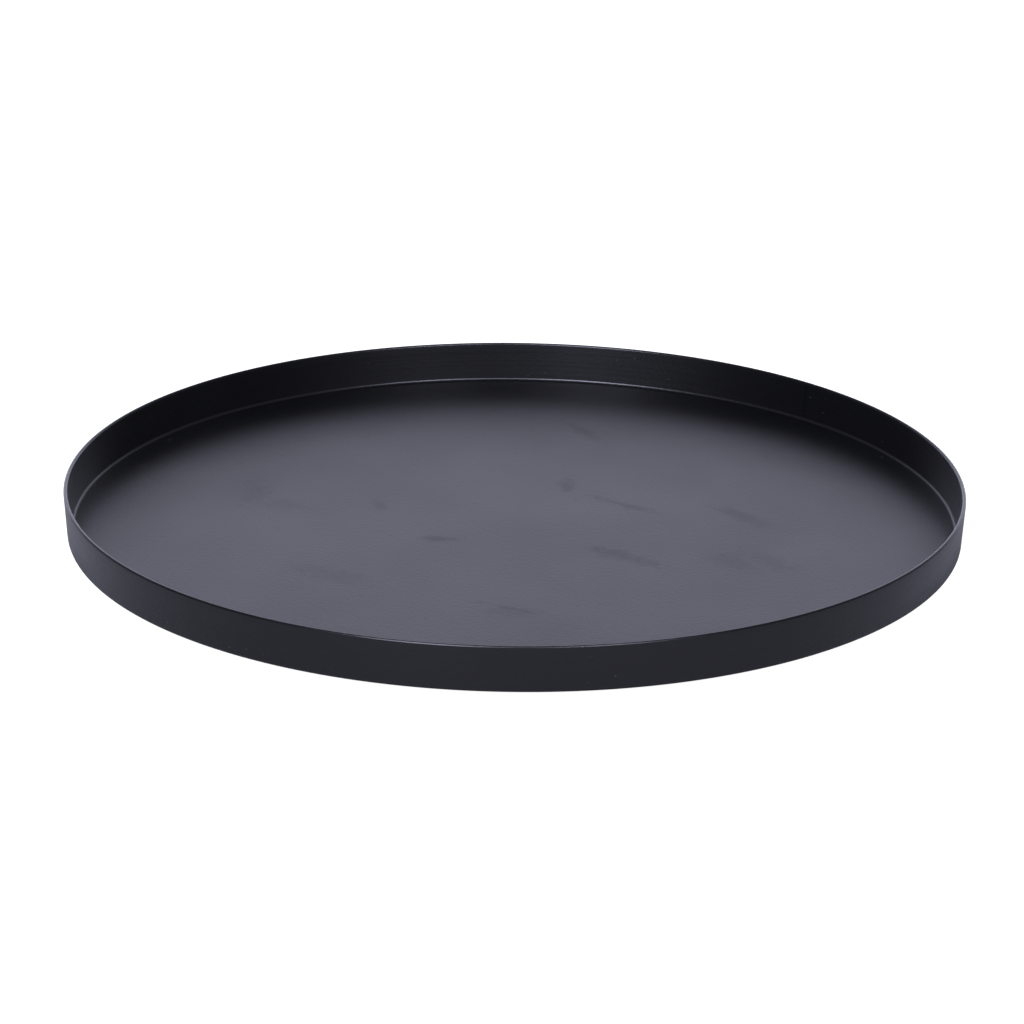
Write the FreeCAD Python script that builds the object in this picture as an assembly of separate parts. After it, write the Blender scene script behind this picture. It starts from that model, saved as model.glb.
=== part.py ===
import FreeCAD, Part
import math
import os

# A round serving tray of powder-coated steel: a flat disc stands inside a rolled hoop of flat strip,
# the hoop is closed by a butt weld, and a small bead round the inside corner joins disc and hoop.
# Thin non-slip pads under the disc carry the tray.
# +Z is up. The origin is on the tray's axis, in the plane that the pads stand on. Sizes in mm.

# Whole tray
TRAY_DIAMETER = 400.0  # outside, at the rim
WALL_HEIGHT = 20.0  # the hoop alone, from its lower edge to the rim
WALL_THICKNESS = 1.8
WALL_FLARE = 1.2  # how much wider the hoop is at the rim than at its lower edge, on the radius
BASE_THICKNESS = 1.2

# Edges and corners
RIM_ROUNDING = WALL_THICKNESS / 2  # the rim is a full half round
LOWER_CORNER_ROUNDING = 0.7  # the hoop's outer lower corner
UNDERSIDE_CHAMFER = 0.35  # each lip of the groove between disc and hoop, seen from below
BEAD_RADIUS = 1.2  # the concave face of the bead in the inside corner
BEAD_TOE = 0.3  # how thick the bead still is where it ends on the wall and on the floor

# Butt weld that closes the hoop
SEAM_WIDTH = 1.2  # along the hoop
SEAM_BEARING = 45.0  # degrees from +X towards +Y

# Pads
PAD_COUNT = 4
PAD_DIAMETER = 12.0
PAD_THICKNESS = 1.0
PAD_ROUNDING = 0.35  # the pad's lower edge
PAD_CIRCLE_RADIUS = 165.0
FIRST_PAD_BEARING = 45.0

# Levels and radii that follow from the sizes above, the radii at the rim's level
OUTER_RADIUS = TRAY_DIAMETER / 2
INNER_RADIUS = OUTER_RADIUS - WALL_THICKNESS
UNDERSIDE_Z = PAD_THICKNESS
FLOOR_Z = UNDERSIDE_Z + BASE_THICKNESS
RIM_Z = UNDERSIDE_Z + WALL_HEIGHT
SEAM_ANGLE = math.degrees(SEAM_WIDTH / OUTER_RADIUS)

AXIS_POINT = FreeCAD.Vector(0, 0, 0)
AXIS = FreeCAD.Vector(0, 0, 1)


def at(radius, height):
    """A point of a profile in the XZ half-plane."""
    return FreeCAD.Vector(radius, 0, height)


def on_hoop(radius, height):
    """Where a point of an upright hoop goes when the hoop flares: radius is its radius at the rim."""
    return at(radius - WALL_FLARE * (RIM_Z - height) / WALL_HEIGHT, height)


def line(start, end):
    return Part.LineSegment(start, end).toShape()


def rounded(start, centre, end):
    """The quarter arc from start to end about centre, slanted where its points are."""
    middle = centre + ((start - centre) + (end - centre)) * math.sqrt(0.5)
    return Part.Arc(start, middle, end).toShape()


def turned(edges, sweep=360.0, first_bearing=0.0):
    """The solid that a closed profile sweeps about the tray's axis."""
    face = Part.Face(Part.Wire(edges))
    face.rotate(AXIS_POINT, AXIS, first_bearing)
    solid = face.revolve(AXIS_POINT, AXIS, sweep)
    return solid if solid.Volume > 0 else solid.reversed()


def base_plate():
    """The flat disc, with a small chamfer round its lower edge. Its edge fits the flared hoop."""
    corners = [
        at(0, UNDERSIDE_Z),
        on_hoop(INNER_RADIUS - UNDERSIDE_CHAMFER, UNDERSIDE_Z),
        on_hoop(INNER_RADIUS, UNDERSIDE_Z + UNDERSIDE_CHAMFER),
        on_hoop(INNER_RADIUS, FLOOR_Z),
        at(0, FLOOR_Z),
    ]
    return turned([line(a, b) for a, b in zip(corners, corners[1:] + corners[:1])])


def wall_section():
    """The strip's cross-section: a half-round rim, a rounded outer foot and a chamfered inner one."""
    lower_left = on_hoop(INNER_RADIUS + UNDERSIDE_CHAMFER, UNDERSIDE_Z)
    lower_right = on_hoop(OUTER_RADIUS - LOWER_CORNER_ROUNDING, UNDERSIDE_Z)
    foot_centre = on_hoop(OUTER_RADIUS - LOWER_CORNER_ROUNDING, UNDERSIDE_Z + LOWER_CORNER_ROUNDING)
    foot_top = on_hoop(OUTER_RADIUS, UNDERSIDE_Z + LOWER_CORNER_ROUNDING)
    rim_start = on_hoop(OUTER_RADIUS, RIM_Z - RIM_ROUNDING)
    rim_centre = on_hoop(OUTER_RADIUS - RIM_ROUNDING, RIM_Z - RIM_ROUNDING)
    rim_top = on_hoop(OUTER_RADIUS - RIM_ROUNDING, RIM_Z)
    rim_end = on_hoop(INNER_RADIUS, RIM_Z - RIM_ROUNDING)
    chamfer_top = on_hoop(INNER_RADIUS, UNDERSIDE_Z + UNDERSIDE_CHAMFER)
    return [
        line(lower_left, lower_right),
        rounded(lower_right, foot_centre, foot_top),
        line(foot_top, rim_start),
        rounded(rim_start, rim_centre, rim_top),
        rounded(rim_top, rim_centre, rim_end),
        line(rim_end, chamfer_top),
        line(chamfer_top, lower_left),
    ]


def wall_band():
    """The hoop, open by the width of its weld."""
    return turned(wall_section(), 360.0 - SEAM_ANGLE, SEAM_BEARING + SEAM_ANGLE / 2)


def wall_seam_weld():
    """The weld that closes the hoop, dressed flush with the strip on every side."""
    return turned(wall_section(), SEAM_ANGLE, SEAM_BEARING - SEAM_ANGLE / 2)


def bead_section():
    """The bead's cross-section: a concave face between two blunt toes, on wall and floor."""
    leg = BEAD_RADIUS + BEAD_TOE
    corner = on_hoop(INNER_RADIUS, FLOOR_Z)
    wall_end = on_hoop(INNER_RADIUS, FLOOR_Z + leg)
    wall_toe = on_hoop(INNER_RADIUS - BEAD_TOE, FLOOR_Z + leg)
    floor_toe = on_hoop(INNER_RADIUS - leg, FLOOR_Z + BEAD_TOE)
    floor_end = on_hoop(INNER_RADIUS - leg, FLOOR_Z)
    centre = on_hoop(INNER_RADIUS - leg, FLOOR_Z + leg)
    return [
        line(corner, wall_end),
        line(wall_end, wall_toe),
        rounded(wall_toe, centre, floor_toe),
        line(floor_toe, floor_end),
        line(floor_end, corner),
    ]


def corner_bead():
    """The bead in the inside corner, one unbroken ring."""
    return turned(bead_section())


def non_slip_pad(bearing):
    """A thin round pad with a rounded lower edge, stuck under the disc."""
    radius = PAD_DIAMETER / 2
    lower_end = at(radius - PAD_ROUNDING, 0)
    side_start = at(radius, PAD_ROUNDING)
    pad = turned([
        line(at(0, 0), lower_end),
        rounded(lower_end, at(radius - PAD_ROUNDING, PAD_ROUNDING), side_start),
        line(side_start, at(radius, PAD_THICKNESS)),
        line(at(radius, PAD_THICKNESS), at(0, PAD_THICKNESS)),
        line(at(0, PAD_THICKNESS), at(0, 0)),
    ])
    angle = math.radians(bearing)
    pad.translate(FreeCAD.Vector(math.cos(angle), math.sin(angle), 0) * PAD_CIRCLE_RADIUS)
    return pad


def pieces():
    """Every piece of the tray, by node name."""
    found = {
        "base_plate": base_plate(),
        "wall_band": wall_band(),
        "wall_seam_weld": wall_seam_weld(),
        "corner_bead": corner_bead(),
    }
    for number in range(PAD_COUNT):
        bearing = FIRST_PAD_BEARING + number * 360.0 / PAD_COUNT
        found[f"non_slip_pad_{number + 1}"] = non_slip_pad(bearing)
    return found


os.makedirs("parts", exist_ok=True)
for name, shape in pieces().items():
    shape.exportStep(f"parts/{name}.step")
    box = shape.BoundBox
    print(f"{name}: valid {shape.isValid()}, volume {shape.Volume:.1f} mm3, "
          f"Z {box.ZMin:.2f} to {box.ZMax:.2f}, X {box.XMin:.2f} to {box.XMax:.2f}")
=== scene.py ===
import math
import random

import bpy
from mathutils import Euler, Matrix, Vector, noise


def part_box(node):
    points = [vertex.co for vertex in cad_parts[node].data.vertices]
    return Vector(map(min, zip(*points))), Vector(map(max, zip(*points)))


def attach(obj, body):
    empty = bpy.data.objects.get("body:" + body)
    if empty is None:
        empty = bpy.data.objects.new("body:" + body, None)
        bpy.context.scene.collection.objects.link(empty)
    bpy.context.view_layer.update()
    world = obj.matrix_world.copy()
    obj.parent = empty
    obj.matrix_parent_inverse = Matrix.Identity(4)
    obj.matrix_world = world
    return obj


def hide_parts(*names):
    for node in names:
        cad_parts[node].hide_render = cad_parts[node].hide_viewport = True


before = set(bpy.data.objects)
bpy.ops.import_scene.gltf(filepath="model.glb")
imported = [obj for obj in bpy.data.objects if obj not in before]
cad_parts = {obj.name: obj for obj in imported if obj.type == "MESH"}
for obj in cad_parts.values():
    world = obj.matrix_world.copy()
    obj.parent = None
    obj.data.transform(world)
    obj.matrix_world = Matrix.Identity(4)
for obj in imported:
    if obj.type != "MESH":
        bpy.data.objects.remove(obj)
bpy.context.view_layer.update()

# A round black powder-coated serving tray. Metres, in the CAD's frame: +Z up, origin on the tray's
# axis in the plane that the pads stand on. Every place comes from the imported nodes' boxes.

MM = 0.001
ROOT = "root"

plate_low, plate_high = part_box("base_plate")
wall_low, wall_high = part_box("wall_band")
bead_low, bead_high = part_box("corner_bead")
weld_low, weld_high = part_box("wall_seam_weld")

WALL_THICKNESS = 1.8 * MM
RIM_ROUNDING = WALL_THICKNESS / 2  # the rim is a full half round
FOOT_ROUNDING = 0.7 * MM
GROOVE_LIP = 0.35 * MM  # the chamfers of disc and wall, which leave a groove between them below
BEAD_TOE = 0.04 * MM  # how thin the bead runs out on the wall and on the floor
WELD_WIDTH = 1.2 * MM

FOOT_Z, RIM_Z = wall_low.z, wall_high.z
UNDER_Z, FLOOR_Z = plate_low.z, plate_high.z
OUTER = min(wall_high.x, wall_high.y, -wall_low.x, -wall_low.y)  # just below the rim
INNER = OUTER - WALL_THICKNESS
FLOOR_RADIUS = min(plate_high.x, plate_high.y, -plate_low.x, -plate_low.y)
FLARE = (INNER - FLOOR_RADIUS) / (RIM_Z - RIM_ROUNDING - FLOOR_Z)  # radius gained per height
BEAD_LEG = bead_high.z - bead_low.z
WELD_BEARING = math.atan2(weld_low.y + weld_high.y, weld_low.x + weld_high.x)
WELD_ANGLE = WELD_WIDTH / OUTER

PAD_EDGE = 0.35 * MM  # rounding of a pad's lower edge
PAD_GROOVES = (0.42, 0.70)  # where the ring grooves run, as shares of a pad's radius
PAD_GROOVE = 0.35 * MM  # half the width of a groove at the rubbing face
PAD_GROOVE_DEPTH = 0.18 * MM
PAD_TOP_CHAMFER = 0.05 * MM
PAD_HUB = 0.02 * MM  # a pinhole in the middle, where a turned profile has to stop

# how finely the round shapes are cut
HOOP_STEPS = 720
WELD_STEPS = 4
PAD_STEPS = 72
DISC_STEPS, DISC_RINGS, DISC_CROWDING = 360, 44, 0.8  # below 1 the rings crowd towards the edge
ARC_STEPS = 8
STRAIGHT_STEPS = 8

HOOP_WAVE = 0.10 * MM  # how far the rolled strip strays inwards from a true circle
HOOP_WAVES = 2.2  # radius of the circle in noise space that the strip's bearings run round
HOOP_LEAN = 18.0  # how fast the stray changes with height
SHEET_WAVE = 0.05 * MM  # how far the disc strays from flat
SHEET_WAVES = 9.0
SHEET_CALM = 30 * MM  # the strip holds the disc's edge flat, over this width
SHARP_ANGLE = 35  # degrees


# ---------------------------------------------------------------- geometry

def arc(centre, radius, first, last, steps=ARC_STEPS):
    """Points (radius, height) on an arc of a profile, angles in degrees from outwards towards up."""
    points = []
    for step in range(steps + 1):
        angle = math.radians(first + (last - first) * step / steps)
        points.append((centre[0] + radius * math.cos(angle), centre[1] + radius * math.sin(angle)))
    return points


def flared(points):
    """Where the points of an upright hoop go when the hoop widens towards its rim."""
    return [(radius - FLARE * (RIM_Z - RIM_ROUNDING - height), height) for radius, height in points]


def between(start, end, steps):
    """The points inside a straight run of a profile, without its ends."""
    return [tuple(a + (b - a) * step / steps for a, b in zip(start, end)) for step in range(1, steps)]


def finish_mesh(name, verts, faces, material, slot, *nodes):
    """A smooth-shaded piece that rides on the tray and stands for the given CAD nodes."""
    mesh = bpy.data.meshes.new(name)
    mesh.from_pydata(verts, [], faces)
    mesh.validate()
    mesh.shade_smooth()
    mesh.set_sharp_from_angle(angle=math.radians(SHARP_ANGLE))
    mesh.materials.append(material)
    piece = bpy.data.objects.new(name, mesh)
    bpy.context.scene.collection.objects.link(piece)
    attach(piece, ROOT)
    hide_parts(*nodes)
    return piece


def lathe(profile, steps, first=0.0, sweep=math.tau, stray=None):
    """Verts and faces of a closed profile turned about +Z. The profile runs anticlockwise, seen with
    the axis on the left, so that faces look outwards. A part turn gets a cap at each end."""
    whole = sweep > math.tau - 1e-9
    rings = steps if whole else steps + 1
    count = len(profile)
    verts, faces = [], []
    for ring in range(rings):
        bearing = first + sweep * ring / steps
        for radius, height in profile:
            if stray:
                radius += stray(bearing, height)
            verts.append((radius * math.cos(bearing), radius * math.sin(bearing), height))
    for ring in range(steps):
        here, there = ring * count, (ring + 1) % rings * count
        for i in range(count):
            j = (i + 1) % count
            faces.append((here + i, there + i, there + j, here + j))
    if not whole:
        faces.append(tuple(range(count)))
        faces.append(tuple(reversed(range((rings - 1) * count, rings * count))))
    return verts, faces


def hoop_stray(bearing, height):
    """A rolled strip is never quite round: it strays inwards a little, and leans a little too."""
    place = Vector((HOOP_WAVES * math.cos(bearing), HOOP_WAVES * math.sin(bearing),
                    height * HOOP_LEAN))
    return -HOOP_WAVE * (0.5 + 0.5 * noise.noise(place))


def wall_profile():
    foot_centre = (OUTER - FOOT_ROUNDING, FOOT_Z + FOOT_ROUNDING)
    rim_centre = (OUTER - RIM_ROUNDING, RIM_Z - RIM_ROUNDING)
    foot = arc(foot_centre, FOOT_ROUNDING, -90, 0)
    rim = arc(rim_centre, RIM_ROUNDING, 0, 180, 2 * ARC_STEPS)
    lip_top = (INNER, FOOT_Z + GROOVE_LIP)
    lip_low = (INNER + GROOVE_LIP, FOOT_Z)
    return flared(foot + between(foot[-1], rim[0], STRAIGHT_STEPS) + rim
                  + between(rim[-1], lip_top, STRAIGHT_STEPS) + [lip_top, lip_low])


def plate_mesh():
    """The disc: a polar grid above and below, with one point in the middle of each."""
    steps, rings = DISC_STEPS, DISC_RINGS
    radii = [FLOOR_RADIUS * (ring / rings) ** DISC_CROWDING for ring in range(1, rings + 1)]
    (lip_radius, lip_height), (low_radius, _) = flared([(INNER, UNDER_Z + GROOVE_LIP),
                                                        (INNER - GROOVE_LIP, UNDER_Z)])
    verts, faces = [], []

    def sheet(x, y):
        calm = max(0.0, min(1.0, (FLOOR_RADIUS - math.hypot(x, y)) / SHEET_CALM))
        return SHEET_WAVE * calm * noise.noise(Vector((x * SHEET_WAVES, y * SHEET_WAVES, 3.1)))

    for height, edge_radius in ((FLOOR_Z, FLOOR_RADIUS), (UNDER_Z, low_radius)):
        verts.append((0.0, 0.0, height + sheet(0.0, 0.0)))
        for radius in radii:
            if radius == radii[-1]:
                radius = edge_radius
            for step in range(steps):
                angle = math.tau * step / steps
                x, y = radius * math.cos(angle), radius * math.sin(angle)
                verts.append((x, y, height + sheet(x, y)))
    side = 1 + rings * steps

    def vert(level, ring, step):
        return level * side + 1 + ring * steps + step % steps

    for level in (0, 1):
        turn = (lambda face: face) if level == 0 else (lambda face: tuple(reversed(face)))
        for step in range(steps):
            faces.append(turn((level * side, vert(level, 0, step), vert(level, 0, step + 1))))
            for ring in range(rings - 1):
                faces.append(turn((vert(level, ring, step), vert(level, ring + 1, step),
                                   vert(level, ring + 1, step + 1), vert(level, ring, step + 1))))
    # the edge: straight down from the floor, then the chamfer in to the underside
    lip_row = len(verts)
    for step in range(steps):
        angle = math.tau * step / steps
        verts.append((lip_radius * math.cos(angle), lip_radius * math.sin(angle), lip_height))
    for step in range(steps):
        here, there = lip_row + step, lip_row + (step + 1) % steps
        top, top_next = vert(0, rings - 1, step), vert(0, rings - 1, step + 1)
        low, low_next = vert(1, rings - 1, step), vert(1, rings - 1, step + 1)
        faces.append((top, here, there, top_next))
        faces.append((here, low, low_next, there))
    return verts, faces


def bead_profile():
    """A concave coated bead whose toes run out thin on the wall and on the floor."""
    reach = BEAD_LEG - BEAD_TOE
    centre = (INNER - BEAD_TOE - reach, FLOOR_Z + BEAD_TOE + reach)
    face = arc(centre, reach, 0, -90, 12)
    return flared([(INNER, FLOOR_Z), (INNER, centre[1])] + face + [(centre[0], FLOOR_Z)])


def pad_profile(radius, height):
    """A moulded pad: flat rubbing face with two ring grooves, rounded lower edge."""
    points = [(PAD_HUB, 0.0)]
    for share in PAD_GROOVES:
        middle = radius * share
        points += [(middle - PAD_GROOVE, 0.0), (middle - PAD_GROOVE / 2, PAD_GROOVE_DEPTH),
                   (middle + PAD_GROOVE / 2, PAD_GROOVE_DEPTH), (middle + PAD_GROOVE, 0.0)]
    points += arc((radius - PAD_EDGE, PAD_EDGE), PAD_EDGE, -90, 0, 5)
    points += [(radius, height - PAD_TOP_CHAMFER), (radius - PAD_TOP_CHAMFER, height),
               (PAD_HUB, height)]
    return points


# ---------------------------------------------------------------- materials

def node(tree, kind, inputs=None, **settings):
    """Adds a shader node. Each input is a constant or another node's output."""
    made = tree.nodes.new("ShaderNode" + kind)
    for key, value in settings.items():
        setattr(made, key, value)
    for key, value in (inputs or {}).items():
        if isinstance(value, bpy.types.NodeSocket):
            tree.links.new(value, made.inputs[key])
        else:
            made.inputs[key].default_value = value
    return made


def calc(tree, operation, *values, clamp=False):
    return node(tree, "Math", dict(enumerate(values)), operation=operation, use_clamp=clamp).outputs[0]


def spread(tree, value, low, high, out_low=0.0, out_high=1.0):
    """value from low..high to out_low..out_high, smoothly, clamped."""
    return node(tree, "MapRange", {"Value": value, "From Min": low, "From Max": high, "To Min": out_low,
                                   "To Max": out_high}, interpolation_type="SMOOTHSTEP").outputs[0]


def blend(tree, factor, first, second, blend_type="MIX"):
    """The second colour over the first, by factor. Sockets 6 and 7 are the Mix node's colours."""
    return node(tree, "Mix", {"Factor": factor, 6: first, 7: second}, data_type="RGBA",
                blend_type=blend_type).outputs[2]


def noisy(tree, place, scale, detail=2.0, roughness=0.5, distortion=0.0):
    return node(tree, "TexNoise", {"Vector": place, "Scale": scale, "Detail": detail,
                                   "Roughness": roughness, "Distortion": distortion}).outputs["Fac"]


def stretched(tree, place, scale=(1, 1, 1), turn=0.0, move=(0, 0, 0)):
    """place moved by -move, turned by -turn degrees about Z and scaled."""
    moved = node(tree, "VectorMath", {0: place, 1: move}, operation="SUBTRACT").outputs[0]
    turned = node(tree, "VectorRotate", {"Vector": moved, "Angle": -math.radians(turn)},
                  rotation_type="Z_AXIS").outputs[0]
    return node(tree, "VectorMath", {0: turned, 1: scale}, operation="MULTIPLY").outputs[0]


def unrolled(tree, place):
    """The wall laid out flat: metres round the hoop, height."""
    axes = node(tree, "SeparateXYZ", {0: place})
    bearing = calc(tree, "ARCTAN2", axes.outputs["Y"], axes.outputs["X"])
    return node(tree, "CombineXYZ", {"X": calc(tree, "MULTIPLY", bearing, OUTER),
                                     "Y": axes.outputs["Z"]}).outputs[0]


def smudge(tree, place, ragged, start, end, width, strength):
    """A soft greasy mark from start to end (mm), with ragged edges."""
    across, along = Vector(end) - Vector(start), (Vector(start) + Vector(end)) / 2
    turn = math.degrees(math.atan2(across.y, across.x))
    length = across.length + width
    at = stretched(tree, place, (2 / (length * MM), 2 / (width * MM), 0), turn,
                   (along.x * MM, along.y * MM, 0))
    away = node(tree, "VectorMath", {0: at}, operation="LENGTH").outputs["Value"]
    return spread(tree, calc(tree, "ADD", away, ragged), 0.35, 1.35, strength, 0.0)


COAT_COLOURS = ((0.0010, 0.0010, 0.0011, 1), (0.0016, 0.0016, 0.0018, 1))
DUST_COLOURS = ((0.003, 0.003, 0.003, 1), (0.045, 0.045, 0.047, 1))
RUBBER_COLOURS = ((0.010, 0.010, 0.010, 1), (0.034, 0.033, 0.032, 1))
RUBBER_IOR = 1.5

SMUDGE_ROUGHNESS = 0.072  # how much rougher a full-strength smudge is than the coat
SPECK_ROUGHNESS = 0.12
FINE_ROUGHNESS = 0.05
STREAK_ROUGHNESS = 0.10
STREAK_RELIEF = 1.2  # the rolling marks' relief beside the orange peel's
STREAK_SCALE = (6.0, 6.0, 900.0)  # long round the hoop, short in height
RIM_POLISH = 0.85  # of the wall's roughness
STRIP_ANISOTROPY = 0.6

# handling marks on the floor, laid by chance from a fixed seed; lengths in mm, lean in degrees
SMUDGE_SEED = 5
SMUDGE_COUNT = 14
SMUDGE_REACH = 125
SMUDGE_LEAN, SMUDGE_LEAN_SPREAD = -40, 20  # most wipes run the same way
SMUDGE_LENGTHS = (8, 35)
SMUDGE_WIDTHS = (4, 20)
SMUDGE_STRENGTHS = (0.4, 1.0)


def wiped_marks():
    """Each mark as one end, other end, width (mm) and strength."""
    draw = random.Random(SMUDGE_SEED)
    marks = []
    for _ in range(SMUDGE_COUNT):
        bearing = draw.uniform(0, math.tau)
        away = SMUDGE_REACH * math.sqrt(draw.random())
        lean = math.radians(draw.gauss(SMUDGE_LEAN, SMUDGE_LEAN_SPREAD))
        middle = Vector((away * math.cos(bearing), away * math.sin(bearing)))
        half = Vector((math.cos(lean), math.sin(lean))) * draw.uniform(*SMUDGE_LENGTHS) / 2
        marks.append((middle - half, middle + half, draw.uniform(*SMUDGE_WIDTHS),
                      draw.uniform(*SMUDGE_STRENGTHS)))
    return marks


def powder_coat(name, smudges=(), streaks=False, roughness=0.36, ior=1.40):
    """Satin black powder coat: a near-black coat, fine orange peel, dust and handling marks."""
    material = bpy.data.materials.new(name)
    material.use_nodes = True
    tree = material.node_tree
    shader = tree.nodes["Principled BSDF"]
    place = node(tree, "TexCoord").outputs["Object"]

    cloud = noisy(tree, place, 14.0, 3.0, 0.55)
    fine = noisy(tree, place, 900.0, 2.0, 0.6)
    colour = blend(tree, cloud, *COAT_COLOURS)

    rough = spread(tree, cloud, 0.3, 0.7, roughness - 0.015, roughness + 0.015)
    rough = calc(tree, "MULTIPLY_ADD", fine, FINE_ROUGHNESS,
                 calc(tree, "SUBTRACT", rough, FINE_ROUGHNESS / 2))
    if smudges:
        ragged = spread(tree, noisy(tree, place, 190.0, 4.0, 0.6, 0.6), 0.25, 0.75, -0.30, 0.60)
        total = None
        for mark in smudges:
            mask = smudge(tree, place, ragged, *mark)
            total = mask if total is None else calc(tree, "MAXIMUM", total, mask)
        rough = calc(tree, "MULTIPLY_ADD", total, SMUDGE_ROUGHNESS, rough)

    # dust: one speck in some of the cells of a fine Voronoi pattern, laid on the surface
    cells = node(tree, "TexVoronoi", {"Vector": unrolled(tree, place) if streaks else place,
                                      "Scale": 110.0, "Randomness": 1.0},
                 feature="F1", voronoi_dimensions="2D")
    pick = node(tree, "SeparateColor", {"Color": cells.outputs["Color"]})
    size = spread(tree, pick.outputs[0], 0.60, 1.0, 0.0, 0.032 if streaks else 0.050)
    speck = calc(tree, "LESS_THAN", cells.outputs["Distance"], size)
    light = calc(tree, "GREATER_THAN", pick.outputs[1], 0.45)
    dust_colour = blend(tree, light, *DUST_COLOURS)
    colour = blend(tree, calc(tree, "MULTIPLY", speck, 0.8), colour, dust_colour)
    rough = calc(tree, "MULTIPLY_ADD", speck, SPECK_ROUGHNESS, rough, clamp=True)

    peel = noisy(tree, place, 620.0, 2.0, 0.5)
    relief = calc(tree, "MULTIPLY_ADD", fine, 0.25, peel)
    if streaks:
        # rolling marks
        marks = noisy(tree, stretched(tree, place, STREAK_SCALE), 1.0, 3.0, 0.6)
        relief = calc(tree, "MULTIPLY_ADD", marks, STREAK_RELIEF, relief)
        rough = calc(tree, "MULTIPLY_ADD", calc(tree, "SUBTRACT", marks, 0.5), STREAK_ROUGHNESS, rough)
        # hands have polished the rim
        height = node(tree, "SeparateXYZ", {0: place}).outputs["Z"]
        polish = spread(tree, height, RIM_Z - 1.4 * RIM_ROUNDING, RIM_Z - 0.7 * RIM_ROUNDING,
                        1.0, RIM_POLISH)
        rough = calc(tree, "MULTIPLY", rough, polish)
    bump = node(tree, "Bump", {"Height": relief, "Strength": 0.28, "Distance": 0.0002}).outputs[0]

    tree.links.new(colour, shader.inputs["Base Color"])
    tree.links.new(rough, shader.inputs["Roughness"])
    tree.links.new(bump, shader.inputs["Normal"])
    shader.inputs["IOR"].default_value = ior
    if streaks:
        # the rolled strip's grain runs round the hoop, so it spreads light up and down
        shader.inputs["Anisotropic"].default_value = STRIP_ANISOTROPY
        shader.inputs["Anisotropic Rotation"].default_value = 0.25
        grain = node(tree, "Tangent", direction_type="RADIAL", axis="Z").outputs[0]
        tree.links.new(grain, shader.inputs["Tangent"])
    return material


def rubber(name):
    """Dark moulded rubber with a fine grain and a chalky bloom in patches."""
    material = bpy.data.materials.new(name)
    material.use_nodes = True
    tree = material.node_tree
    shader = tree.nodes["Principled BSDF"]
    place = node(tree, "TexCoord").outputs["Object"]
    bloom = noisy(tree, place, 260.0, 4.0, 0.6)
    grain = noisy(tree, place, 2600.0, 2.0, 0.6)
    colour = blend(tree, bloom, *RUBBER_COLOURS)
    rough = spread(tree, bloom, 0.3, 0.7, 0.62, 0.82)
    bump = node(tree, "Bump", {"Height": grain, "Strength": 0.3, "Distance": 0.0001}).outputs[0]
    tree.links.new(colour, shader.inputs["Base Color"])
    tree.links.new(rough, shader.inputs["Roughness"])
    tree.links.new(bump, shader.inputs["Normal"])
    shader.inputs["IOR"].default_value = RUBBER_IOR
    return material


# ---------------------------------------------------------------- the tray's pieces

floor_coat = powder_coat("powder_coat_floor", wiped_marks())
wall_coat = powder_coat("powder_coat_wall", streaks=True, roughness=0.39)
trim_coat = powder_coat("powder_coat_trim", roughness=0.30, ior=1.40)
pad_rubber = rubber("pad_rubber_moulded")

finish_mesh("base_plate_coated", *plate_mesh(), floor_coat, "powder_coat", "base_plate")

finish_mesh("wall_band_coated",
            *lathe(wall_profile(), HOOP_STEPS, WELD_BEARING + WELD_ANGLE / 2,
                   math.tau - WELD_ANGLE, hoop_stray),
            wall_coat, "powder_coat", "wall_band")
finish_mesh("wall_seam_weld_coated",
            *lathe(wall_profile(), WELD_STEPS, WELD_BEARING - WELD_ANGLE / 2, WELD_ANGLE,
                   hoop_stray),
            trim_coat, "powder_coat", "wall_seam_weld")
finish_mesh("corner_bead_coated", *lathe(bead_profile(), HOOP_STEPS), trim_coat, "powder_coat",
            "corner_bead")

for pad_node in sorted(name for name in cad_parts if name.startswith("non_slip_pad")):
    low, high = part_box(pad_node)
    middle = (low + high) / 2
    radius = (high.x - low.x) / 2
    verts, faces = lathe(pad_profile(radius, high.z), PAD_STEPS)
    verts = [(x + middle.x, y + middle.y, z) for x, y, z in verts]
    finish_mesh(pad_node + "_moulded", verts, faces, pad_rubber, "pad_rubber", pad_node)


# ---------------------------------------------------------------- studio

FLOOR_HALF = 12.0  # metres from the middle to an edge
DULL_PAPER = (0.38, 0.38, 0.38, 1)  # the floor that the tray picks up
SEEN_PAPER = (0.30, 0.30, 0.26, 1)  # the floor that the camera sees
PAPER_LIFT = 0.95  # added to it, so that it is clipped to white

COOL = (0.93, 0.95, 1.20)

# degrees of elevation, brightness
BEHIND = ((0, 2.1), (9, 2.1), (13, 1.7), (17, 1.24), (21.5, 1.07), (27, 0.92), (38, 0.43), (60, 0.22),
          (90, 0.18))
AROUND = ((0, 0.30), (20, 0.25), (45, 0.22), (90, 0.25))
PEAK_GLOW = 3.0  # a colour ramp holds 0 to 1, so brightness is kept as a share of this
ROOM_STRENGTH = 1.05
SWEEP_EDGES = (0.69, 0.90)  # cosines of the bearing from straight ahead: the sweep fades in between
SEEN_WHITE = 1.1  # above 1 is clipped to white

SOFTBOX_ELEVATION, SOFTBOX_DISTANCE = 46, 2.2  # degrees, metres


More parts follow.
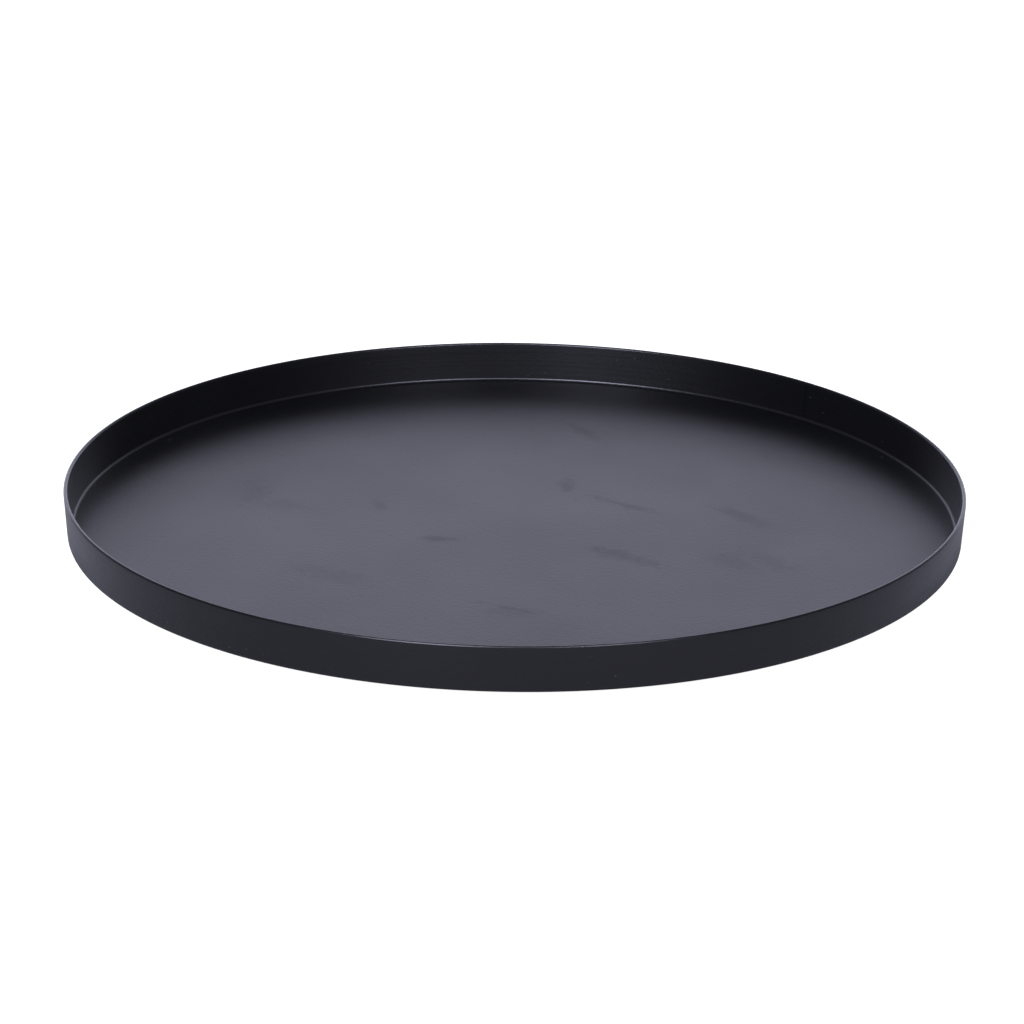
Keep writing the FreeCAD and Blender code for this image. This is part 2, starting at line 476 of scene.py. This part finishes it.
def studio_floor():
    mesh = bpy.data.meshes.new("studio_floor")
    half = FLOOR_HALF
    mesh.from_pydata([(-half, -half, 0), (half, -half, 0), (half, half, 0), (-half, half, 0)], [],
                     [(0, 1, 2, 3)])
    material = bpy.data.materials.new("studio_white")
    material.use_nodes = True
    tree = material.node_tree
    tree.nodes.clear()
    # the paper itself is clipped to white, while what the tray picks up from it is duller
    seen = node(tree, "LightPath").outputs["Is Camera Ray"]
    dull = node(tree, "BsdfDiffuse", {"Color": DULL_PAPER}).outputs[0]
    paper = node(tree, "BsdfDiffuse", {"Color": SEEN_PAPER}).outputs[0]
    lift = node(tree, "Emission", {"Color": (1, 1, 1, 1), "Strength": PAPER_LIFT}).outputs[0]
    bright = node(tree, "AddShader", {0: paper, 1: lift}).outputs[0]
    mixed = node(tree, "MixShader", {0: seen, 1: dull, 2: bright}).outputs[0]
    node(tree, "OutputMaterial", {"Surface": mixed})
    mesh.materials.append(material)
    floor = bpy.data.objects.new("studio_floor", mesh)
    bpy.context.scene.collection.objects.link(floor)


def glow_ramp(tree, height, stops):
    """Brightness by the sine of the elevation, as a share of PEAK_GLOW."""
    ramp = node(tree, "ValToRGB", {"Fac": height})
    elements = ramp.color_ramp.elements
    while len(elements) < len(stops):
        elements.new(0.5)
    for element, (elevation, glow) in zip(elements, stops):
        element.position = math.sin(math.radians(elevation))
        element.color = (glow / PEAK_GLOW, glow / PEAK_GLOW, glow / PEAK_GLOW, 1)
    return ramp.outputs["Color"]


def studio_world():
    """A white sweep behind the tray, brightest near the floor, in a cool dim room."""
    world = bpy.data.worlds.new("studio_world")
    world.use_nodes = True
    tree = world.node_tree
    tree.nodes.clear()
    direction = node(tree, "TexCoord").outputs["Generated"]
    height = node(tree, "SeparateXYZ", {0: direction}).outputs["Z"]
    level = node(tree, "VectorMath", {0: direction, 1: (1, 1, 0)}, operation="MULTIPLY").outputs[0]
    level = node(tree, "VectorMath", {0: level}, operation="NORMALIZE").outputs[0]
    forward = node(tree, "SeparateXYZ", {0: level}).outputs["Y"]
    glow = blend(tree, spread(tree, forward, *SWEEP_EDGES), glow_ramp(tree, height, AROUND),
                 glow_ramp(tree, height, BEHIND))
    tint = blend(tree, 1.0, glow, (*COOL, 1), "MULTIPLY")
    strength = PEAK_GLOW * ROOM_STRENGTH
    light = node(tree, "Background", {"Color": tint, "Strength": strength}).outputs[0]
    # the camera itself sees white paper all round
    white = node(tree, "Background", {"Color": (1, 1, 1, 1), "Strength": SEEN_WHITE}).outputs[0]
    seen = node(tree, "LightPath").outputs["Is Camera Ray"]
    mixed = node(tree, "MixShader", {0: seen, 1: light, 2: white}).outputs[0]
    node(tree, "OutputWorld", {"Surface": mixed})
    bpy.context.scene.world = world


def softbox(name, azimuth, size, power):
    """An area light that looks at the tray. Azimuth 0 is on the camera's side, 90 on its right."""
    a, e = math.radians(azimuth), math.radians(SOFTBOX_ELEVATION)
    away = Vector((math.sin(a) * math.cos(e), -math.cos(a) * math.cos(e), math.sin(e)))
    lamp = bpy.data.lights.new(name, "AREA")
    lamp.shape = "RECTANGLE"
    lamp.size, lamp.size_y = size
    lamp.energy = power
    lamp.color = COOL
    light = bpy.data.objects.new(name, lamp)
    light.location = Vector((0, 0, RIM_Z)) + away * SOFTBOX_DISTANCE
    light.rotation_mode = "QUATERNION"
    light.rotation_quaternion = away.to_track_quat("Z", "Y")
    light.visible_camera = False
    bpy.context.scene.collection.objects.link(light)


studio_floor()
studio_world()
softbox("softbox_left", -25, (0.75, 1.1), 60)
softbox("softbox_right", 27, (0.6, 1.1), 30)


# ---------------------------------------------------------------- camera

CAMERA_DISTANCE = 1.6
CAMERA_ELEVATION = 20.240  # degrees
CAMERA_TRIM = (0.1089, 0.0400, 0.6728)  # degrees of pitch, yaw and roll
SENSOR_WIDTH, LENS = 36.0, 125.67  # mm


def photo_camera():
    """Eight tray radii away, 20 degrees up, aimed a little off the tray's axis."""
    elevation = math.radians(CAMERA_ELEVATION)
    target = Vector((0, 0, FOOT_Z))
    back = Vector((0, -math.cos(elevation), math.sin(elevation)))
    aim = back.to_track_quat("Z", "Y").to_matrix()
    trim = Euler([math.radians(angle) for angle in CAMERA_TRIM]).to_matrix()
    data = bpy.data.cameras.new("photo_camera")
    data.sensor_width = SENSOR_WIDTH
    data.lens = LENS
    camera = bpy.data.objects.new("photo_camera", data)
    camera.matrix_world = Matrix.Translation(target + back * CAMERA_DISTANCE) @ (aim @ trim).to_4x4()
    bpy.context.scene.collection.objects.link(camera)
    bpy.context.scene.camera = camera


photo_camera()
bpy.context.scene.view_settings.view_transform = "Standard"
